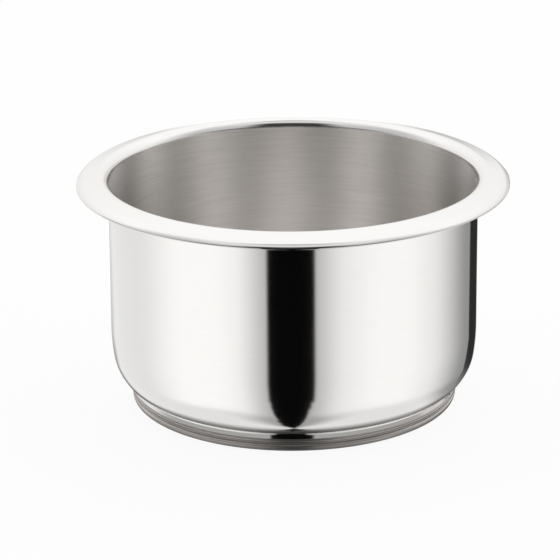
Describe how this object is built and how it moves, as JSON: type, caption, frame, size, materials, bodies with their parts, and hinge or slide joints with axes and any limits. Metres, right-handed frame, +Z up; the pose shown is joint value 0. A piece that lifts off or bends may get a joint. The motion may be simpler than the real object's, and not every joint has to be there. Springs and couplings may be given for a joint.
{
  "type": "cooking pan",
  "caption": "Round handle-less stainless steel cooking pan with a wide out-turned rim, a rounded lower corner and a capped heat-spreading sandwich base.",
  "frame": {"origin": "centre of the base's underside, where the pan stands", "axes": "+Z up along the pan's axis; X and Y are alike, because the pan is round"},
  "size_m": [0.2336, 0.2336, 0.127],
  "materials": {
    "polished_steel": "stainless sheet, mirror polished outside and on the rim, satin brushed round inside",
    "core_aluminium": "plain rolled aluminium disc, sealed in",
    "base_steel": "pressed magnetic stainless, polished less than the wall, underside turned in fine rings"
  },
  "bodies": {
    "root": {"pan_body": "polished_steel", "core_disc": "core_aluminium", "base_cap": "base_steel"}
  },
  "joints": []
}
